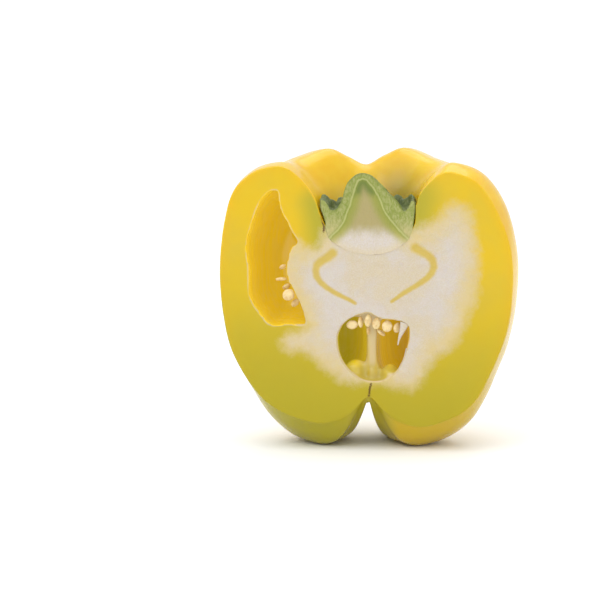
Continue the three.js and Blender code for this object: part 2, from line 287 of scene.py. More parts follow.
class Shader:
    def __init__(self, name):
        self.material = bpy.data.materials.new(name)
        self.material.use_nodes = True
        self.tree = self.material.node_tree
        self.surface = self.tree.nodes["Principled BSDF"]

    def node(self, kind, **settings):
        made = self.tree.nodes.new(kind)
        for key, value in settings.items():
            setattr(made, key, value)
        return made

    def link(self, source, target):
        self.tree.links.new(source, target)

    def put(self, socket, value):
        if isinstance(value, bpy.types.NodeSocket):
            self.link(value, socket)
        else:
            socket.default_value = value

    def field(self, name):
        return self.node("ShaderNodeAttribute", attribute_name=name).outputs["Fac"]

    def mix(self, amount, first, second):
        made = self.node("ShaderNodeMix", data_type="RGBA")
        self.put(made.inputs["Factor"], amount)
        self.put(made.inputs[6], first)
        self.put(made.inputs[7], second)
        return made.outputs[2]

    def math(self, operation, first, second=0.0, clamp=False):
        made = self.node("ShaderNodeMath", operation=operation, use_clamp=clamp)
        self.put(made.inputs[0], first)
        self.put(made.inputs[1], second)
        return made.outputs[0]

    def ramp(self, value, low, high, toLow=0.0, toHigh=1.0):
        made = self.node("ShaderNodeMapRange", interpolation_type="SMOOTHSTEP")
        self.put(made.inputs["Value"], value)
        self.put(made.inputs["From Min"], low)
        self.put(made.inputs["From Max"], high)
        self.put(made.inputs["To Min"], toLow)
        self.put(made.inputs["To Max"], toHigh)
        return made.outputs["Result"]

    def group(self, group, **values):
        made = self.node("ShaderNodeGroup", node_tree=group)
        for key, value in values.items():
            self.put(made.inputs[key], value)
        return made

    def bump(self, height, distance, strength=1.0, after=None):
        made = self.node("ShaderNodeBump")
        made.inputs["Distance"].default_value = distance
        made.inputs["Strength"].default_value = strength
        self.link(height, made.inputs["Height"])
        if after is not None:
            self.link(after, made.inputs["Normal"])
        return made.outputs["Normal"]


def makeMottleGroup():
    # cloudy patches with a finer grain over them, in object space
    group = bpy.data.node_groups.new("mottle", "ShaderNodeTree")
    for name, start in (("Patch Size", 8.0), ("Grain Size", 1.0), ("Stretch", 1.0)):
        socket = group.interface.new_socket(name, in_out="INPUT", socket_type="NodeSocketFloat")
        socket.default_value = start
    group.interface.new_socket("Patches", in_out="OUTPUT", socket_type="NodeSocketFloat")
    group.interface.new_socket("Grain", in_out="OUTPUT", socket_type="NodeSocketFloat")
    nodes, links = group.nodes, group.links
    source = nodes.new("NodeGroupInput")
    out = nodes.new("NodeGroupOutput")
    where = nodes.new("ShaderNodeTexCoord")
    squash = nodes.new("ShaderNodeCombineXYZ")
    squash.inputs["X"].default_value = 1
    squash.inputs["Y"].default_value = 1
    links.new(source.outputs["Stretch"], squash.inputs["Z"])
    scaled = nodes.new("ShaderNodeVectorMath")
    scaled.operation = "MULTIPLY"
    links.new(where.outputs["Object"], scaled.inputs[0])
    links.new(squash.outputs["Vector"], scaled.inputs[1])
    for label, sizeName, detail in (("Patches", "Patch Size", 3.0), ("Grain", "Grain Size", 4.0)):
        scale = nodes.new("ShaderNodeMath")
        scale.operation = "DIVIDE"
        scale.inputs[0].default_value = 1000.0
        links.new(source.outputs[sizeName], scale.inputs[1])
        cloud = nodes.new("ShaderNodeTexNoise")
        cloud.inputs["Detail"].default_value = detail
        cloud.inputs["Roughness"].default_value = 0.62
        links.new(scaled.outputs["Vector"], cloud.inputs["Vector"])
        links.new(scale.outputs["Value"], cloud.inputs["Scale"])
        links.new(cloud.outputs["Fac"], out.inputs[label])
    return group


def makeFibreGroup():
    # fine upright strands, wandering a little sideways
    group = bpy.data.node_groups.new("strands", "ShaderNodeTree")
    for name, start in (("Width", 0.8), ("Length", 12.0)):
        socket = group.interface.new_socket(name, in_out="INPUT", socket_type="NodeSocketFloat")
        socket.default_value = start
    group.interface.new_socket("Strands", in_out="OUTPUT", socket_type="NodeSocketFloat")
    nodes, links = group.nodes, group.links
    source = nodes.new("NodeGroupInput")
    out = nodes.new("NodeGroupOutput")
    where = nodes.new("ShaderNodeTexCoord")
    across = nodes.new("ShaderNodeMath")
    across.operation = "DIVIDE"
    across.inputs[0].default_value = 1000.0
    links.new(source.outputs["Width"], across.inputs[1])
    down = nodes.new("ShaderNodeMath")
    down.operation = "DIVIDE"
    down.inputs[0].default_value = 1000.0
    links.new(source.outputs["Length"], down.inputs[1])
    stretch = nodes.new("ShaderNodeCombineXYZ")
    links.new(across.outputs["Value"], stretch.inputs["X"])
    links.new(across.outputs["Value"], stretch.inputs["Y"])
    links.new(down.outputs["Value"], stretch.inputs["Z"])
    scaled = nodes.new("ShaderNodeVectorMath")
    scaled.operation = "MULTIPLY"
    links.new(where.outputs["Object"], scaled.inputs[0])
    links.new(stretch.outputs["Vector"], scaled.inputs[1])
    cloud = nodes.new("ShaderNodeTexNoise")
    cloud.inputs["Scale"].default_value = 1.0
    cloud.inputs["Detail"].default_value = 2.5
    cloud.inputs["Distortion"].default_value = 0.35
    links.new(scaled.outputs["Vector"], cloud.inputs["Vector"])
    links.new(cloud.outputs["Fac"], out.inputs["Strands"])
    return group


mottle = makeMottleGroup()
strands = makeFibreGroup()

# the flesh is skin, wall, ribs and white core in one
flesh = {
    "voxel": 0.52,
    "seatOverlap": 0.6,  # how far the flesh runs on under the calyx's edge
    "sideMouth": [(-29.6, 80), (-27.9, 79.6), (-27.5, 76.1), (-26.4, 72.6), (-25, 70.4), (-23.7, 67.6),
                  (-21.8, 64.2), (-23.7, 62.8), (-24.7, 59.7), (-25.3, 56.3), (-24.8, 52.8), (-23.4, 50.1),
                  (-21.9, 47.3), (-20.6, 44.1), (-19.7, 41.2), (-19.5, 39.1), (-22, 39), (-25.1, 39.2),
                  (-28.4, 38.7), (-31, 39.3), (-32.9, 41.8), (-35, 44.5), (-36.3, 47.6), (-36.8, 51.6),
                  (-36.8, 56.2), (-37.3, 60.2), (-37, 65.4), (-35.4, 71), (-34.3, 74.5), (-32.1, 78)],
    "middleMouth": [(-0.4, 42.9), (-4.4, 41.7), (-7.7, 39.5), (-9.4, 36.4), (-9.7, 33.7), (-9, 30),
                    (-7.4, 26.7), (-4.7, 23.7), (-1.7, 22), (1.6, 21.6), (5, 22.1), (7.6, 23.9), (9.6, 26.6),
                    (11.2, 30.6), (12.3, 35.3), (12.1, 38.8), (9.5, 40.3), (6.4, 40.8), (3.4, 41.2),
                    (1.2, 42.2)],
    # the side chamber and the mouth behind the cut: y, wide, high, shift x, shift z
    "sideLevels": [(-3, 1, 1, 0, 0), (0, 1, 1, 0, 0), (6, 1.04, 1, 0.2, -0.5), (13, 1.02, 0.92, 1.2, -1.5),
                   (19, 0.82, 0.76, 2.6, -2), (22.5, 0.45, 0.45, 3.6, -2.4)],
    "mouthLevels": [(-3, 1, 1, 0, 0), (0, 1, 1, 0, 0), (4.2, 0.97, 0.97, 0, 0)],
    # the two chambers behind the mouth, one each side of the rib: y, left, right, low, high
    "leftLevels": [(2.5, -8.9, -0.8, 24, 40), (9, -11.6, -1, 22, 43), (16, -15.8, -1.6, 20.4, 45),
                   (24, -19, -2.6, 19.8, 46), (30, -18.4, -3.6, 21, 45), (34, -15.4, -6, 25, 41)],
    "rightLevels": [(2.5, 2.0, 11.2, 24.2, 39.8), (9, 2.2, 13.8, 22.2, 43), (16, 2.8, 17.2, 20.6, 45),
                    (24, 3.6, 20.4, 19.8, 46), (30, 4.6, 19.6, 21, 45), (34, 7, 16.4, 25, 41)],
    # mounds on the floor of the mouth and the swollen ends of the rib: centre, radii
    "mounds": [((-4.6, 6.0, 23.4), (3.6, 4.4, 4.0)), ((6.4, 5.6, 23.2), (3.2, 4.2, 3.0)),
               ((0.7, 6.4, 22.6), (2.4, 3.4, 3.4)), ((0.6, 6.6, 42.0), (3.4, 3.2, 4.4))],
    # the white core as it shows on the cut
    "core": [(12.6, 68.2), (15.2, 69.5), (17.8, 70), (20.3, 71.7), (22.5, 73.9), (24.2, 75.7), (26.3, 76.5),
             (28.5, 75.7), (30.7, 74), (31.6, 71), (32, 66.6), (32.9, 60.1), (33, 54), (32.7, 49.4),
             (31.6, 45.5), (30.1, 43.2), (29.7, 40.9), (28.2, 37.8), (27.1, 35.5), (26, 33.2), (23.7, 31.2),
             (21.1, 30), (19.9, 28), (18, 26.1), (16.9, 23.8), (15.4, 21.4), (13.1, 19.4), (10.8, 19.4),
             (7, 20.5), (3.2, 21.3), (0.4, 21.4), (-4.5, 21.2), (-8.3, 21.8), (-10.6, 23.4), (-12.2, 24.5),
             (-14.5, 26), (-16, 27.5), (-17.5, 29.5), (-20.6, 30.6), (-24.5, 30.9), (-26, 31.7), (-26.8, 34),
             (-25.2, 35.6), (-23.7, 36.3), (-21.4, 37.1), (-19.4, 38.3), (-22.5, 45.5), (-27, 52.7),
             (-27, 60.3), (-24.5, 63.6), (-21.7, 64.6), (-19.9, 62.9), (-17.9, 62.6), (-15.3, 63),
             (-14.4, 65.1), (-13.8, 67.8)],
    # the two yellow strands that curve through it
    "strandLeft": [(-11.1, 61.1), (-12.6, 59.8), (-14.5, 58.6), (-15.9, 57.4), (-16.3, 55.7), (-16, 53.8),
                   (-14.9, 52.1), (-13, 50.5), (-10.7, 49), (-8.4, 47.9), (-6.1, 46.8), (-4.2, 45.7)],
    "strandRight": [(14, 62.9), (15.7, 61.9), (17.8, 60.7), (19.3, 59.2), (19.7, 57.2), (19, 55.3),
                    (17.5, 53.6), (15.6, 52.2), (12.9, 50.5), (10.3, 48.9), (8.4, 47.5), (6.9, 46.4)],
    "goldSkin": srgb(218, 172, 10),
    "paleSkin": srgb(230, 192, 38),
    "oliveSkin": srgb(160, 150, 12),
    "mustardSkin": srgb(192, 162, 12),
    "basinOliveShade": srgb(138, 122, 8),
    "wallGold": srgb(212, 178, 26),
    "wallPale": srgb(204, 174, 44),
    "wallGreen": srgb(166, 154, 26),
    "coreWhite": srgb(203, 195, 188),
    "coreShade": srgb(192, 176, 142),
    "coreWarm": srgb(206, 187, 136),
    "strandYellow": srgb(198, 172, 76),
    "flankGreen": srgb(166, 158, 44),
    "chamberGold": srgb(208, 178, 36),
    # darker chamber colour, used as painted shade
    "chamberPaintedShade": srgb(168, 142, 22),
    # brighter gold beside the rib, painted light on the lit side walls
    "middleLitGold": srgb(210, 182, 36),
    "middleOlive": srgb(170, 160, 28),
    "middleAmber": srgb(190, 152, 28),
    "ribPale": srgb(176, 158, 112),
    "moundYellow": srgb(164, 145, 56),
    "liningPale": srgb(184, 168, 132),
    # strength of the painted glow that brightens the chamber walls
    "paintedGlowStrength": 0.42,
    # brown scars: the slit between the two lobes and the two beside the calyx
    "scars": [[(0.7, 21.0), (0.4, 19.7), (0.1, 17.7), (-0.1, 16.1)],
              [(-14.5, 72.0), (-14.0, 70.0), (-13.7, 68.5), (-14.0, 67.6)],
              [(12.5, 72.3), (12.0, 70.5), (11.9, 69.6), (12.5, 68.6)]],
    "scarBrown": srgb(84, 52, 20),
    # threads of torn core hanging in the mouth: spine, widths along it and depth
    "threads": [("hangingThread", [(10.9, 39.8), (10.2, 37.6), (9.3, 35.2), (8.8, 32.9)],
                 [3.0, 1.7, 0.8, 0.3], 0.75),
                ("edgeThread", [(11.5, 32.0), (10.9, 28.9), (9.7, 26.4), (8.2, 23.9)],
                 [0.4, 0.7, 0.6, 0.4], 0.8)],
    # thin creases down both sides of the rib, darkened there as painted shade
    "ribShadeLines": [[(-1.0, 38.5), (-0.8, 34.0), (-0.5, 28.0), (-0.3, 23.5)],
                 [(2.9, 38.5), (2.6, 34.0), (2.2, 28.0), (1.9, 24.0)]],
}


def skinLines(angles, steps):
    rows = ("side", "crest", "top", "roll", "footAt", "foot", "rise", "slope")
    get = {name: fieldAt(name, angles) for name in rows}
    floorZ, radius, widest = growth["basinFloor"], growth["basinRadius"], growth["widest"]
    one = np.ones_like(angles)
    side, crest, top, footAt, foot = (get[k] for k in ("side", "crest", "top", "footAt", "foot"))
    control = np.stack([np.stack(pair, axis=-1) for pair in (
        (0 * one, floorZ * one),
        (radius * 0.72 * one, (floorZ + 0.3) * one),
        (radius * one, (floorZ + 3.4) * one),
        (radius + get["slope"] * (crest - radius), floorZ + 0.6 * (top - floorZ)),
        (crest - 5.2, top - 1.5),
        (crest, top),
        (crest + 0.46 * (side - crest), top - 0.25 * get["roll"]),
        (side - 2.9, top - get["roll"]),
        (side, widest * one),
        (side - 0.9, (widest - 16) * one),
        (side - 4.6, (widest - 30) * one),
        (footAt + 0.5 * (side - footAt), foot + 6),
        (footAt, foot),
        (0.5 * footAt, foot + get["rise"]),
        (2.3 * one, (growth["cleftTop"] - 2.6) * one),
        (0 * one, growth["cleftTop"] * one),
    )], axis=1)
    return alongSpline(control, steps)


def chamberTunnel(name, mouth, levels, count, ragged=0.0, seed=0):
    ring = closedRing(mouth, count)
    middle = ring.mean(axis=0)
    keys = np.array(levels, float)  # y, wide, high, shift x, shift z
    depth = np.linspace(keys[0, 0], keys[-1, 0], 40)
    rings = []
    for y in depth:
        wide, high, dx, dz = (np.interp(y, keys[:, 0], keys[:, k]) for k in range(1, 5))
        level = np.empty((count, 3))
        level[:, 0] = middle[0] + dx + (ring[:, 0] - middle[0]) * wide
        level[:, 1] = y
        level[:, 2] = middle[1] + dz + (ring[:, 1] - middle[1]) * high
        rings.append(level)
    rings = np.array(rings)
    if ragged:
        flat = rings.reshape(-1, 3)
        away = flat - np.array([middle[0], 0, middle[1]])
        away[:, 1] = 0
        away /= np.linalg.norm(away, axis=1)[:, None]
        torn = lumps(flat * [1, 0.3, 1], 2.2, seed) * 0.6 + lumps(flat * [1, 0.5, 1], 1.0, seed + 5) * 0.4
        torn *= np.exp(-np.maximum(flat[:, 1], 0) / 3.0)
        outer = smoothStep(-24, -31, flat[:, 0]) * 0.75 + 0.25
        flat += away * (ragged * torn * outer)[:, None]
    return facingOut(tunnel(name, rings))


def ovalTunnel(name, levels, count):
    keys = np.array(levels, float)  # y, left, right, low, high
    turn = np.linspace(0, 2 * np.pi, count, endpoint=False)
    across = np.sign(np.cos(turn)) * np.abs(np.cos(turn)) ** 0.66
    up = np.sign(np.sin(turn)) * np.abs(np.sin(turn)) ** 0.66
    rings = []
    for y in np.linspace(keys[0, 0], keys[-1, 0], 36):
        left, right, low, high = (np.interp(y, keys[:, 0], keys[:, k]) for k in range(1, 5))
        rings.append(np.stack([(left + right) / 2 + (right - left) / 2 * across, y + 0 * turn,
                               (low + high) / 2 + (high - low) / 2 * up], axis=1))
    rings = np.array(rings)
    return facingOut(tunnel(name, rings))


def ball(rows, around):
    # points and faces of a ball of radius 1
    u = np.linspace(0, np.pi, rows)[1:-1]
    v = np.linspace(0, 2 * np.pi, around, endpoint=False)
    rings = [[math.sin(a) * math.cos(b), math.sin(a) * math.sin(b), math.cos(a)] for a in u for b in v]
    cloud = np.concatenate([rings, [[0, 0, 1], [0, 0, -1]]])
    faces = gridFaces(len(u), around, 0, closed=True)
    top, bottom = len(cloud) - 2, len(cloud) - 1
    faces += [(top, (j + 1) % around, j) for j in range(around)]
    last = (len(u) - 1) * around
    faces += [(bottom, last + j, last + (j + 1) % around) for j in range(around)]
    return cloud, faces


def mound(name, centre, radii, seed):
    # rounded lump of flesh
    cloud, faces = ball(18, 28)
    cloud *= (1 + 0.12 * lumps(cloud * 3, 2.0, seed))[:, None]
    return facingOut(meshFrom(name, cloud * radii + np.array(centre), faces))


calyx = {
    "voxel": 0.24,
    "rim": 14.0,
    "rimHeight": 76.4,
    "top": 85.6,
    "lean": -2.0,
    "rindGreen": srgb(126, 138, 46),
    "rindPale": srgb(160, 162, 98),
    "deepGreen": srgb(84, 100, 34),
    "stalkGreen": srgb(104, 118, 40),
    "paleGreen": srgb(184, 184, 118),
    "greyTip": srgb(92, 104, 72),
    "coreBeige": srgb(164, 151, 98),
    "innerGreen": srgb(144, 146, 60),
    "tailGreen": srgb(178, 168, 96),
    # the two strand lines on the cut, from the tip of the stub out to the calyx foot
    "lineLeft": [(-2.1, 83.9), (-3.4, 83.5), (-3.8, 82.8), (-4.5, 81), (-4.9, 79.3), (-5.4, 77.8),
                 (-6, 75.3), (-6.9, 73.2), (-7.9, 70.5), (-9.5, 68.1), (-11, 66.6), (-12.3, 65.1), (-12.5, 64.2)],
    "lineRight": [(-2.1, 83.9), (-0.8, 83.4), (0.3, 82.1), (1.4, 80.9), (2.7, 78.9), (3.5, 76.9), (4.2, 75),
                  (5.3, 73.1), (6.6, 71.1), (7.9, 69.6), (9.2, 68.1), (10.5, 66.8), (11.8, 65.7),
                  (12.7, 65.5)],
}


def calyxLines(angles, grow, steps, crinkle):
    turn = np.radians(angles)
    wave = -np.cos(turn * 5 + 0.5)
    rim = calyx["rim"] + 0.8 * wave + grow
    lift = 0.6 * wave
    if crinkle:
        rim = rim + 0.3 * np.sin(turn * 17 + 1.0) + 0.2 * np.sin(turn * 31)
        lift = lift + 0.5 * np.sin(turn * 13 + 2.0) + 0.3 * np.sin(turn * 29 + 0.5)
    rimZ = calyx["rimHeight"]
    one = np.ones_like(turn)
    flute = 1 + (0.05 * np.cos(turn * 5 + 0.5) + 0.03 * np.sin(turn * 9)) * (1 if crinkle else 0)
    control = np.stack([np.stack(pair, axis=-1) for pair in (
        (0 * one, (calyx["top"] + grow) * one),
        ((2.0 + grow) * flute, (85.1 + grow) * one),
        ((3.3 + grow) * flute, (84.1 + grow) * one),
        ((4.6 + grow) * flute, (82.8 + grow) * one),
        ((5.9 + grow) * flute, (81.0 + grow) * one),
        ((7.2 + grow) * one, (78.9 + grow) * one),
        ((8.7 + grow) * one, (76.4 + grow) * one),
        (10.2 * one, (74.4 + grow) * one),
        (rim - 2.6, (rimZ - 2.0 + grow) * one),
        (rim - 0.9 - 2 * grow, rimZ + 0.6 + lift + grow),
        (rim, rimZ + 0.5 + lift),
        (rim, (rimZ - 1.6) * one),
        ((13.4 + grow) * one, 71.0 * one),
        ((12.9 + grow) * one, 67.6 * one),
        ((11.2 + grow) * one, (64.6 - grow) * one),
        (6.0 * one, (61.6 - grow) * one),
        (0 * one, (60.6 - grow) * one),
    )], axis=1)
    return alongSpline(control, steps)


def leanAt(z):
    return calyx["lean"] * smoothStep(76, 83, z)


def seatOutline():
    # the calyx as it shows on the cut, from the right side over the foot to the left side
    right, left = calyxLines(np.array([0.0, 180.0]), 0.0, 4, False)
    left = left * [-1, 1]
    line = np.concatenate([right, left[::-1]])
    line[:, 0] += leanAt(line[:, 1])
    return line[line[:, 1] < 76]


def buildFlesh():
    angles = np.linspace(0, 180, 241)
    outside = facingOut(turnedHalf("skinShape", skinLines(angles, 10), angles))
    skinTree = BVHTree.FromObject(outside, bpy.context.evaluated_depsgraph_get())
    left = -readPoints(outside.data)[:, 0].min()
    seatAngles = np.linspace(0, 180, 91)
    seatLines = calyxLines(seatAngles, -flesh["seatOverlap"], 6, False)
    cuts = [
        chamberTunnel("sideCut", flesh["sideMouth"], flesh["sideLevels"], 220, ragged=0.7, seed=3),
        chamberTunnel("mouthCut", flesh["middleMouth"], flesh["mouthLevels"], 140),
        ovalTunnel("leftCut", flesh["leftLevels"], 90),
        ovalTunnel("rightCut", flesh["rightLevels"], 90),
        facingOut(turnedHalf("seatCut", seatLines, seatAngles, leanAt)),
    ]
    piece = combine(outside, cuts, "DIFFERENCE")
    lumpsInside = [mound("mound", centre, radii, number + 1)
                   for number, (centre, radii) in enumerate(flesh["mounds"])]
    piece = combine(piece, lumpsInside, "UNION")
    piece = remeshed(piece, flesh["voxel"], 3)
    piece.name = "fleshHalf"
    return piece, skinTree, left


def shapeFlesh(piece, skinTree):
    mesh = piece.data
    points = readPoints(mesh)
    normals = readPoints(mesh, "normal")
    nearest = np.empty_like(points)
    away = np.empty(len(points))
    for k, p in enumerate(points):
        spot, _, _, distance = skinTree.find_nearest(Vector(p))
        nearest[k] = spot
        away[k] = distance
    # beside the flat cut, count from the skin's edge on the cut and not from the cut itself
    right, left = skinLines(np.array([0.0, 180.0]), 6)
    skinEdge = np.concatenate([right, (left * [-1, 1])[::-1]])
    edgeReach = reachOf(points[:, [0, 2]], skinEdge)[0]
    away = np.where(nearest[:, 1] < 0.001, edgeReach, away)
    flat = smoothStep(0.55, 0.25, points[:, 1]) * smoothStep(0.45, 0.8, -normals[:, 1])
    skin = smoothStep(0.75, 0.4, away) * (1 - flat) * (points[:, 1] > 0.02)
    skin *= (points[:, 2] > 0.1) | (normals[:, 2] < 0)
    hold = (skin * smoothStep(0.4, 1.2, points[:, 1]))[:, None]
    points = points * (1 - hold) + nearest * hold
    points[:, 1] = points[:, 1] * (1 - flat)
    chamber = np.clip(1 - skin - flat, 0, 1)
    flatPlane = points[:, [0, 2]]

    core = signedReach(flatPlane, np.array(flesh["core"]))
    leftStrand, leftAlong = reachOf(flatPlane, flesh["strandLeft"])
    rightStrand, rightAlong = reachOf(flatPlane, flesh["strandRight"])
    # each strand tapers towards its lower end
    strandField = np.minimum(leftStrand / (1.45 - 0.9 * leftAlong), rightStrand / (1.45 - 0.9 * rightAlong))
    grainy = grain(points, 2.2, 11)
    pithy = smoothStep(-0.5, 1.5, core)

    push = np.zeros(len(points))
    push += skin * (0.28 * lumps(points, 14, 21) + 0.1 * lumps(points, 6, 22))
    push += flat * pithy * (0.2 * grainy + 0.1 * lumps(points, 0.9, 12))
    push += flat * (1 - pithy) * 0.05 * lumps(points, 3, 13)
    push -= flat * 0.14 * smoothStep(1.2, 0.3, strandField)
    streak = lumps(points * [1, 1, 0.12], 1.7, 31)
    push += chamber * (0.07 * streak + 0.1 * lumps(points, 5.0, 32))
    seat = reachOf(flatPlane, seatOutline())[0]
    push = push * smoothStep(0.4, 1.6, seat) - flat * (0.12 + 0.02 * smoothStep(1.6, 0.3, seat))
    points = points + normals * push[:, None]
    points[:, 1] = np.maximum(points[:, 1], 0.0)
    points[:, 2] = np.maximum(points[:, 2], 0.0)
    writePoints(mesh, points)

    keepField(mesh, "flat", flat)
    keepField(mesh, "chamber", chamber)
    keepField(mesh, "coreReach", np.clip(core, -12, 12))
    keepField(mesh, "strandReach", np.clip(strandField, 0, 12))
    keepField(mesh, "underSkin", np.clip(away, 0, 12))
    scar = np.min([reachOf(flatPlane, line)[0] for line in flesh["scars"]], axis=0)
    keepField(mesh, "scarReach", np.clip(scar, 0, 12))
    rim = signedReach(flatPlane, closedRing(flesh["sideMouth"], 80))
    keepField(mesh, "rimReach", np.clip(-rim, -12, 12))
    # how green each spot is: low down, most at the left, in the basin and beside the calyx; in the basin the dark
    # olive is also painted shade
    x, y, z = points.T
    low = smoothStep(68, 6, z + 0.12 * x + 2 * lumps(points, 12, 41))
    basin = np.exp(-((x - 9) ** 2 + (z - 78) ** 2) / 60) * smoothStep(2, 8, y) * smoothStep(28, 20, y)
    flank = np.maximum(smoothStep(9, 1.0, reachOf(flatPlane, [(-15.4, 76), (-13.8, 67), (-13, 63)])[0]),
                       smoothStep(11, 1.0, reachOf(flatPlane, [(14.2, 78), (13, 68.5), (12, 64)])[0]))
    # the rib, the mounds and the lining next to the core are paler than the chamber walls
    middle = ((x > -20) & (z < 48)).astype(float)
    keepField(mesh, "rib", middle * smoothStep(5.4, 1.3, np.abs(x - 0.9)) * smoothStep(20, 6, y))
    keepField(mesh, "mound", middle * smoothStep(27.5, 25.0, z) * smoothStep(11, 8, y))
    lining = middle * smoothStep(38.5, 40.5, z) * smoothStep(10, 6, y)
    lining = np.maximum(lining, (1 - middle) * smoothStep(-23.5, -21.5, x) * smoothStep(6, 2, y))
    lining = np.maximum(lining, middle * smoothStep(1.8, 0.8, y))
    keepField(mesh, "lining", lining)
    # painted shade along the creases at the rib's sides
    ribEdgeShade = np.min([reachOf(flatPlane, line)[0] for line in flesh["ribShadeLines"]], axis=0)
    keepField(mesh, "ribEdgeShade", middle * smoothStep(0.7, 0.2, ribEdgeShade) * smoothStep(11, 8, y))
    keepField(mesh, "middleSide", middle)
    keepField(mesh, "across", np.clip(np.abs(x - 0.9) / 12, 0, 1))
    keepField(mesh, "cleft", smoothStep(10, 4, np.abs(x)) * smoothStep(19, 15, z))
    keepField(mesh, "rightSide", smoothStep(-1.5, 2.5, x))
    keepField(mesh, "depth", np.clip(y / 30, 0, 1))
    keepField(mesh, "low", low)
    keepField(mesh, "basin", basin)
    keepField(mesh, "flank", flank)
    return points


def fleshFinish():
    s = Shader("pepperFlesh")
    surface = s.surface
    patch = s.group(mottle, **{"Patch Size": 16.0, "Grain Size": 0.9, "Stretch": 1.0})
    fine = s.group(mottle, **{"Patch Size": 3.2, "Grain Size": 0.35, "Stretch": 1.0})
    fibre = s.group(strands, Width=1.1, Length=16.0)
    low = s.field("low")
    cloud = patch.outputs["Patches"]
    specks = fine.outputs["Grain"]

    # skin
    skin = s.mix(s.ramp(cloud, 0.35, 0.7), flesh["goldSkin"], flesh["paleSkin"])
    where = s.node("ShaderNodeTexCoord")
    split = s.node("ShaderNodeSeparateXYZ")
    s.link(where.outputs["Object"], split.inputs[0])
    under = s.mix(s.ramp(split.outputs["X"], -0.012, 0.012), flesh["oliveSkin"], flesh["mustardSkin"])
    wander = s.math("MULTIPLY_ADD", s.math("SUBTRACT", cloud, 0.5), 0.5)
    towardsBack = s.ramp(s.field("depth"), 0.2, 0.9, 1.0, 0.4)
    skin = s.mix(s.math("MULTIPLY", s.ramp(s.math("ADD", low, wander), 0.4, 1.0), towardsBack), skin, under)
    # the basin's dark olive: partly its green tint, partly painted shade in the hollow
    skin = s.mix(s.math("MULTIPLY", s.field("basin"), 0.8), skin, flesh["basinOliveShade"])
    skin = s.mix(s.math("MULTIPLY", s.field("cleft"), 0.8), skin, flesh["wallGreen"])

    # wall on the cut
    wall = s.mix(s.ramp(cloud, 0.3, 0.7), flesh["wallGold"], flesh["wallPale"])
    rimBand = s.ramp(s.field("underSkin"), 0.4, 3.2, 1.0, 0.0)
    wall = s.mix(s.math("MULTIPLY", rimBand, 0.3), wall, flesh["goldSkin"])
    wall = s.mix(s.math("MULTIPLY", low, 0.95), wall, flesh["wallGreen"])
    wall = s.mix(s.math("MULTIPLY", s.field("flank"), 0.9), wall, flesh["flankGreen"])
    # white core with a furry edge
    ragged = s.math("MULTIPLY", s.math("SUBTRACT", fine.outputs["Patches"], 0.5), 4.2)
    ragged = s.math("ADD", ragged, s.math("MULTIPLY", s.math("SUBTRACT", specks, 0.5), 1.8))
    coreEdge = s.math("ADD", s.field("coreReach"), ragged)
    coreMask = s.ramp(coreEdge, -2.6, 2.4)
    speckled = s.math("MULTIPLY", s.ramp(specks, 0.62, 0.4), s.ramp(cloud, 0.35, 0.65, 0.45, 1.0))
    core = s.mix(s.math("MULTIPLY", speckled, 0.6), flesh["coreWhite"], flesh["coreShade"])
    warmRim = s.ramp(coreEdge, 0.5, 9.0, 0.8, 0.0)
    warm = s.math("ADD", warmRim, s.ramp(cloud, 0.42, 0.6, 0.0, 0.3), clamp=True)
    core = s.mix(warm, core, flesh["coreWarm"])
    strandEdge = s.math("ADD", s.field("strandReach"), s.math("MULTIPLY", ragged, 0.08))
    core = s.mix(s.ramp(strandEdge, 0.45, 1.5, 0.9, 0.0), core, flesh["strandYellow"])
    # thin pale lip round the side chamber, and the brown scars
    lip = s.ramp(s.math("ADD", s.field("rimReach"), s.math("MULTIPLY", ragged, 0.08)), 0.1, 0.7, 0.4, 0.0)
    wall = s.mix(lip, wall, flesh["coreWhite"])
    cutColour = s.mix(coreMask, wall, core)
    scar = s.math("ADD", s.field("scarReach"), s.math("MULTIPLY", s.math("SUBTRACT", specks, 0.5), 0.7))
    cutColour = s.mix(s.ramp(scar, 0.12, 0.5, 0.9, 0.0), cutColour, flesh["scarBrown"])

    # chamber walls, whose colours are also sent out as a painted glow
    far = s.mix(s.field("rightSide"), flesh["middleOlive"], flesh["middleAmber"])
    # painted light: the walls beside the rib are brighter gold, fading to the olive and amber of the far walls
    middleWall = s.mix(s.ramp(s.field("across"), 0.3, 0.85), flesh["middleLitGold"], far)
    inside = s.mix(s.field("middleSide"), flesh["chamberGold"], middleWall)
    faint = s.ramp(fibre.outputs["Strands"], 0.35, 0.65, 0.0, 0.12)
    inside = s.mix(faint, inside, flesh["liningPale"])
    # painted shade: the walls darken deeper into the chambers
    inside = s.mix(s.ramp(s.field("depth"), 0.15, 0.9, 0.0, 0.25), inside, flesh["chamberPaintedShade"])
    inside = s.mix(s.field("rib"), inside, flesh["ribPale"])
    inside = s.mix(s.math("MULTIPLY", s.field("mound"), 0.85), inside, flesh["moundYellow"])
    inside = s.mix(s.field("lining"), inside, flesh["liningPale"])
    # painted shade in the creases beside the rib
    inside = s.mix(s.math("MULTIPLY", s.field("ribEdgeShade"), 0.5), inside, flesh["chamberPaintedShade"])
    # painted light: the chamber walls glow with their own colour to brighten the hollows
    paintedGlow = s.mix(s.field("chamber"), (0, 0, 0, 1), inside)
    s.link(paintedGlow, surface.inputs["Emission Color"])
    surface.inputs["Emission Strength"].default_value = flesh["paintedGlowStrength"]

    colour = s.mix(s.field("flat"), skin, cutColour)
    colour = s.mix(s.field("chamber"), colour, inside)
    s.link(colour, surface.inputs["Base Color"])

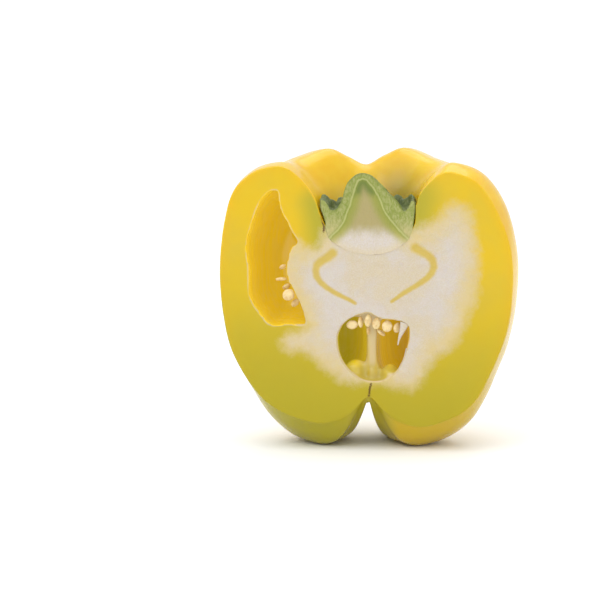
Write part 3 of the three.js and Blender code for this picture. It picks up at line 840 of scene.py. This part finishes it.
    rough = s.ramp(s.field("flat"), 0.0, 1.0, 0.2, 0.34)
    rough = s.math("ADD", rough, s.math("MULTIPLY", s.math("MULTIPLY", coreMask, s.field("flat")), 0.3))
    rough = s.math("ADD", rough, s.math("MULTIPLY", s.math("SUBTRACT", specks, 0.5), 0.12), clamp=True)
    s.link(rough, surface.inputs["Roughness"])
    coat = s.ramp(s.field("flat"), 0.0, 1.0, 0.42, 0.05)
    s.link(coat, surface.inputs["Coat Weight"])
    surface.inputs["Coat Roughness"].default_value = 0.16
    surface.inputs["Specular IOR Level"].default_value = 0.3
    surface.inputs["Subsurface Weight"].default_value = 0.22
    surface.inputs["Subsurface Radius"].default_value = (1.0, 0.62, 0.18)
    surface.inputs["Subsurface Scale"].default_value = 0.004
    surface.inputs["IOR"].default_value = 1.42
    rind = s.bump(cloud, 0.0004, 0.5)
    furry = s.math("MULTIPLY", s.math("MULTIPLY", specks, coreMask), s.field("flat"))
    s.link(s.bump(furry, 0.00035, 0.6, after=rind), surface.inputs["Normal"])
    return s.material


def buildFibre(name, spine, widths, depth):
    # a torn thread of core: an oval tube along a spine of (x, z) points
    spine = alongSpline(np.array(spine, float)[None], 6)[0]
    widths = np.interp(np.linspace(0, 1, len(spine)), np.linspace(0, 1, len(widths)), widths)
    heading = np.gradient(spine, axis=0)
    heading /= np.linalg.norm(heading, axis=1)[:, None]
    turn = np.linspace(0, 2 * np.pi, 14, endpoint=False)
    rings = []
    for (x, z), (dx, dz), wide in zip(spine, heading, widths):
        across = wide / 2 * np.cos(turn)
        deep = depth + min(wide, 0.9) / 2 * np.sin(turn)
        rings.append(np.stack([x + dz * across, deep, z - dx * across], axis=1))
    piece = facingOut(tunnel(name, np.array(rings)))
    count = len(piece.data.vertices)
    for field, value in (("flat", 1.0), ("coreReach", 9.0), ("strandReach", 12.0), ("underSkin", 12.0),
                         ("scarReach", 12.0), ("rimReach", 12.0)):
        keepField(piece.data, field, np.full(count, value))
    return piece


def place(piece, left):
    # from the pepper's own axis, in mm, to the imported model's place
    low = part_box("flesh")[0]
    points = readPoints(piece.data) * mm
    points += np.array([low.x + left * mm, low.y, low.z])
    writePoints(piece.data, points)
    for polygon in piece.data.polygons:
        polygon.use_smooth = True


print("flesh: growing the half")
fleshPiece, skinTree, leftReach = buildFlesh()
shapeFlesh(fleshPiece, skinTree)
place(fleshPiece, leftReach)
fleshMaterial = fleshFinish()
fleshPiece.data.materials.clear()
fleshPiece.data.materials.append(fleshMaterial)
for name, spine, widths, depth in flesh["threads"]:
    thread = buildFibre(name, spine, widths, depth)
    place(thread, leftReach)
    thread.data.materials.append(fleshMaterial)
    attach(thread, "root")
    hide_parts("flesh")
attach(fleshPiece, "root")
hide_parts("flesh")
print("flesh:", len(fleshPiece.data.polygons), "faces")


def buildCalyx():
    angles = np.linspace(0, 180, 361)
    piece = facingOut(turnedHalf("calyxHalf", calyxLines(angles, 0.06, 14, True), angles, leanAt))
    piece = remeshed(piece, calyx["voxel"], 2)
    mesh = piece.data
    points = readPoints(mesh)
    normals = readPoints(mesh, "normal")
    flat = smoothStep(0.35, 0.12, points[:, 1]) * smoothStep(0.45, 0.8, -normals[:, 1])
    outline = calyxLines(np.array([0.0, 180.0]), 0.0, 10, False)
    right = outline[0].copy()
    left = outline[1].copy()
    left[:, 0] *= -1
    for side in (left, right):
        side[:, 0] += leanAt(side[:, 1])
    cutRind = len(left) * 8 // 16
    plane = points[:, [0, 2]]
    rindReach = np.minimum(reachOf(plane, left[:cutRind])[0], reachOf(plane, right[:cutRind])[0])
    radius = np.hypot(points[:, 0] - leanAt(points[:, 2]), points[:, 1])
    around = np.arctan2(points[:, 1], points[:, 0])
    ribs = np.sin(around * 22 + 2.0 * lumps(points, 5, 51))
    crumple = grain(points, 2.6, 52)
    skin = 1 - flat
    rimward = smoothStep(8, 13, radius) * smoothStep(71, 74, points[:, 2])
    push = skin * (0.16 * ribs * smoothStep(86, 76, points[:, 2]) + 0.3 * crumple * (0.4 + rimward))
    push += flat * 0.06 * lumps(points, 1.2, 53)
    push -= flat * 0.06
    points = points + normals * push[:, None]
    points[:, 1] = np.maximum(points[:, 1], 0.0)
    writePoints(mesh, points)
    # the foot has grown into the core, so its rounded edge is pith and not rind
    foot = smoothStep(69, 66, points[:, 2]) * smoothStep(3, 1, points[:, 1])
    keepField(mesh, "flat", np.maximum(flat, foot))
    footLine = np.minimum(reachOf(plane, left[cutRind:])[0], reachOf(plane, right[cutRind:])[0])
    keepField(mesh, "footReach", np.clip(footLine, 0, 12))
    keepField(mesh, "rindReach", np.clip(rindReach, 0, 12))
    leftLine, rightLine = (reachOf(plane, calyx[name])[0] for name in ("lineLeft", "lineRight"))
    fan = np.concatenate([calyx["lineLeft"], [(-13, 56), (13, 56)], calyx["lineRight"][::-1]])
    between = insideOf(plane, fan)
    keepField(mesh, "lineReach", np.where(between, 1, -1) * np.clip(np.minimum(leftLine, rightLine), 0, 12))
    keepField(mesh, "rimward", rimward)
    return piece


def calyxFinish():
    s = Shader("pepperCalyx")
    surface = s.surface
    patch = s.group(mottle, **{"Patch Size": 3.0, "Grain Size": 0.5, "Stretch": 0.5})
    fibre = s.group(strands, Width=0.45, Length=5.0)
    cloud, specks = patch.outputs["Patches"], patch.outputs["Grain"]
    rind = s.mix(s.ramp(cloud, 0.35, 0.68), calyx["deepGreen"], calyx["rindGreen"])
    streaks = s.math("MULTIPLY", s.ramp(fibre.outputs["Strands"], 0.52, 0.66), 0.5)
    rind = s.mix(streaks, rind, calyx["paleGreen"])
    rind = s.mix(s.math("MULTIPLY", s.field("rimward"), 0.6), rind, calyx["greyTip"])
    # the cut: speckled rind outside the strand lines, green fading to the pale core inside them
    wander = s.math("MULTIPLY", s.math("SUBTRACT", cloud, 0.5), 0.9)
    reach = s.math("ADD", s.field("lineReach"), wander)
    edge = s.math("ADD", s.field("rindReach"), wander)
    where = s.node("ShaderNodeTexCoord")
    split = s.node("ShaderNodeSeparateXYZ")
    s.link(where.outputs["Object"], split.inputs[0])
    height = s.math("ADD", split.outputs["Z"], s.math("MULTIPLY", s.math("SUBTRACT", cloud, 0.5), 0.004))
    outer = s.mix(s.ramp(specks, 0.32, 0.68), calyx["rindGreen"], calyx["rindPale"])
    outer = s.mix(s.ramp(height, 0.0645, 0.0735, 0.7, 0.0), outer, flesh["coreWarm"])
    outer = s.mix(s.ramp(edge, 0.1, 0.8, 0.5, 0.0), outer, calyx["stalkGreen"])
    inner = s.mix(s.ramp(height, 0.077, 0.08), calyx["innerGreen"], calyx["stalkGreen"])
    inner = s.mix(s.ramp(height, 0.063, 0.071, 1.0, 0.0), inner, calyx["tailGreen"])
    fine = s.group(mottle, **{"Patch Size": 3.2, "Grain Size": 0.35, "Stretch": 1.0})
    grainMix = s.ramp(fine.outputs["Grain"], 0.62, 0.4, 0.0, 0.4)
    pith = s.mix(grainMix, flesh["coreWhite"], flesh["coreShade"])
    pith = s.mix(s.ramp(s.field("footReach"), 0.0, 3.0, 0.45, 0.0), pith, flesh["coreWarm"])
    coreMix = s.mix(s.ramp(height, 0.0655, 0.0705), pith, calyx["coreBeige"])
    inner = s.mix(s.ramp(reach, 1.0, 4.0), inner, coreMix)
    cut = s.mix(s.ramp(reach, -0.2, 0.2), outer, inner)
    beside = s.math("ABSOLUTE", reach)
    cut = s.mix(s.ramp(beside, 0.35, 1.1, 0.5, 0.0), cut, calyx["rindGreen"])
    cut = s.mix(s.ramp(beside, 0.12, 0.34, 0.6, 0.0), cut, calyx["paleGreen"])
    cut = s.mix(s.ramp(height, 0.0608, 0.0668, 1.0, 0.0), cut, pith)
    s.link(s.mix(s.field("flat"), rind, cut), surface.inputs["Base Color"])
    s.link(s.ramp(specks, 0.3, 0.7, 0.42, 0.6), surface.inputs["Roughness"])
    surface.inputs["Subsurface Weight"].default_value = 0.12
    surface.inputs["Subsurface Radius"].default_value = (0.8, 1.0, 0.3)
    surface.inputs["Subsurface Scale"].default_value = 0.002
    s.link(s.bump(s.math("ADD", fibre.outputs["Strands"], specks), 0.0003, 0.7), surface.inputs["Normal"])
    return s.material


print("calyx: ribs, rim and cut stub")
calyxPiece = buildCalyx()
place(calyxPiece, leftReach)
calyxPiece.data.materials.clear()
calyxPiece.data.materials.append(calyxFinish())
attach(calyxPiece, "root")
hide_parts("calyx")
print("calyx:", len(calyxPiece.data.polygons), "faces")

seeds = {
    "cream": srgb(232, 212, 160),
    "tan": srgb(206, 172, 112),
    # node: roll, turn, size, plumpness
    "lie": {"seed_side_1": (60, 30, 0.58, 1.0), "seed_side_2": (86, 72, 0.9, 1.0),
            "seed_side_3": (60, 40, 0.72, 1.1), "seed_side_4": (40, 4, 0.98, 1.36),
            "seed_side_5": (40, 30, 0.8, 1.0),
            "seed_middle_1": (84, 8, 0.96, 1.1), "seed_middle_2": (-4, 62, 0.92, 1.0),
            "seed_middle_3": (2, 44, 1.0, 1.0), "seed_middle_4": (6, 18, 0.92, 1.05),
            "seed_middle_5": (3, 12, 0.96, 1.25), "seed_middle_6": (10, 20, 0.84, 1.1),
            "seed_middle_7": (-52, 66, 0.8, 0.9), "seed_middle_8": (-2, 60, 0.66, 0.9)},
    "length": 3.9, "width": 2.7, "thickness": 1.3,
}


def buildSeed(node, number):
    low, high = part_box(node)
    centre = (low + high) / 2
    cloud, faces = ball(26, 36)
    beak = 1 - 0.3 * np.maximum(cloud[:, 2], 0) ** 2
    dish = 1 - 0.28 * np.exp(-((cloud[:, 0] / 0.5) ** 2 + ((cloud[:, 2] + 0.1) / 0.5) ** 2))
    rough = 1 + 0.05 * lumps(cloud * 4, 2.0, 60 + number)
    roll, turn, size, plump = seeds["lie"][node]
    scale = size * mm / 2
    shape = np.stack([cloud[:, 0] * beak * plump * seeds["width"] * rough,
                      cloud[:, 1] * beak * dish * seeds["thickness"],
                      cloud[:, 2] * seeds["length"]], axis=1) * scale
    turn, roll = math.radians(turn), math.radians(roll)
    turnZ = np.array([[math.cos(turn), -math.sin(turn), 0], [math.sin(turn), math.cos(turn), 0], [0, 0, 1]])
    rollY = np.array([[math.cos(roll), 0, math.sin(roll)], [0, 1, 0], [-math.sin(roll), 0, math.cos(roll)]])
    shape = shape @ turnZ.T @ rollY.T
    shape += np.array(centre) - (shape.max(axis=0) + shape.min(axis=0)) / 2
    piece = facingOut(meshFrom(node + "_look", shape, faces))
    for polygon in piece.data.polygons:
        polygon.use_smooth = True
    return piece


def seedFinish():
    s = Shader("pepperSeed")
    surface = s.surface
    patch = s.group(mottle, **{"Patch Size": 2.4, "Grain Size": 0.35, "Stretch": 1.0})
    colour = s.mix(s.ramp(patch.outputs["Patches"], 0.35, 0.7), seeds["cream"], seeds["tan"])
    s.link(colour, surface.inputs["Base Color"])
    s.link(s.ramp(patch.outputs["Grain"], 0.3, 0.7, 0.3, 0.5), surface.inputs["Roughness"])
    surface.inputs["Subsurface Weight"].default_value = 0.2
    surface.inputs["Subsurface Radius"].default_value = (1.0, 0.7, 0.4)
    surface.inputs["Subsurface Scale"].default_value = 0.001
    s.link(s.bump(patch.outputs["Grain"], 0.00015, 0.6), surface.inputs["Normal"])
    return s.material


seedMaterial = seedFinish()
for number, node in enumerate(sorted(seeds["lie"])):
    seed = buildSeed(node, number)
    seed.data.materials.append(seedMaterial)
    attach(seed, "root")
    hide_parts(node)
print("seeds:", len(seeds["lie"]))

studio = {
    "azimuth": 5.0, "height": 8.0, "distance": 0.85, "frameWidth": 0.1876,
    "aimRight": -0.0226, "aimUp": 0.0437,
    "keyPower": 0.74, "fillPower": 0.38, "topPower": 1.3, "skyPower": 0.85, "worldLight": 0.94,
    "floorWhite": (0.94, 0.94, 0.94, 1.0),
}


def buildStudio():
    scene = bpy.context.scene
    scene.view_settings.view_transform = "Standard"
    azimuth, height = math.radians(studio["azimuth"]), math.radians(studio["height"])
    level = math.cos(height)
    back = Vector((math.sin(azimuth) * level, -math.cos(azimuth) * level, math.sin(height)))
    right = Vector((math.cos(azimuth), math.sin(azimuth), 0))
    aim = right * studio["aimRight"] + Vector((0, 0, studio["aimUp"]))
    lens = bpy.data.cameras.new("camera")
    lens.sensor_width = 36
    lens.lens = 36 * studio["distance"] / studio["frameWidth"]
    lens.clip_start = 0.01
    camera = bpy.data.objects.new("camera", lens)
    camera.location = aim + back * studio["distance"]
    camera.rotation_euler = (-back).to_track_quat("-Z", "Y").to_euler()
    scene.collection.objects.link(camera)
    scene.camera = camera

    for name, spot, size, power in (
        ("keyLight", (-0.35, -0.55, 0.6), 0.5, studio["keyPower"]),
        ("fillLight", (0.6, -0.45, 0.3), 0.6, studio["fillPower"]),
        ("topLight", (0.05, 0.25, 0.75), 0.6, studio["topPower"]),
    ):
        light = bpy.data.lights.new(name, "AREA")
        light.shape = "DISK"
        light.size = size
        light.energy = power
        lamp = bpy.data.objects.new(name, light)
        lamp.location = spot
        lamp.rotation_euler = (Vector((0, 0, 0.045)) - Vector(spot)).to_track_quat("-Z", "Y").to_euler()
        scene.collection.objects.link(lamp)

    sky = bpy.data.lights.new("skyLight", "SUN")
    sky.energy = studio["skyPower"]
    sky.angle = 1.2
    lamp = bpy.data.objects.new("skyLight", sky)
    lamp.rotation_euler = Vector((0.25, 0.45, -1)).to_track_quat("-Z", "Y").to_euler()
    scene.collection.objects.link(lamp)

    world = bpy.data.worlds.new("studioAir")
    world.use_nodes = True
    world.node_tree.nodes["Background"].inputs["Color"].default_value = (1, 1, 1, 1)
    world.node_tree.nodes["Background"].inputs["Strength"].default_value = studio["worldLight"]
    scene.world = world

    floor = meshFrom("floor", [(-20, -20, 0), (20, -20, 0), (20, 20, 0), (-20, 20, 0)], [(0, 1, 2, 3)])
    s = Shader("studioFloor")
    s.surface.inputs["Roughness"].default_value = 0.8
    s.surface.inputs["Base Color"].default_value = studio["floorWhite"]
    s.surface.inputs["Specular IOR Level"].default_value = 0.2
    floor.data.materials.append(s.material)


buildStudio()
print("studio: camera, lights and floor")
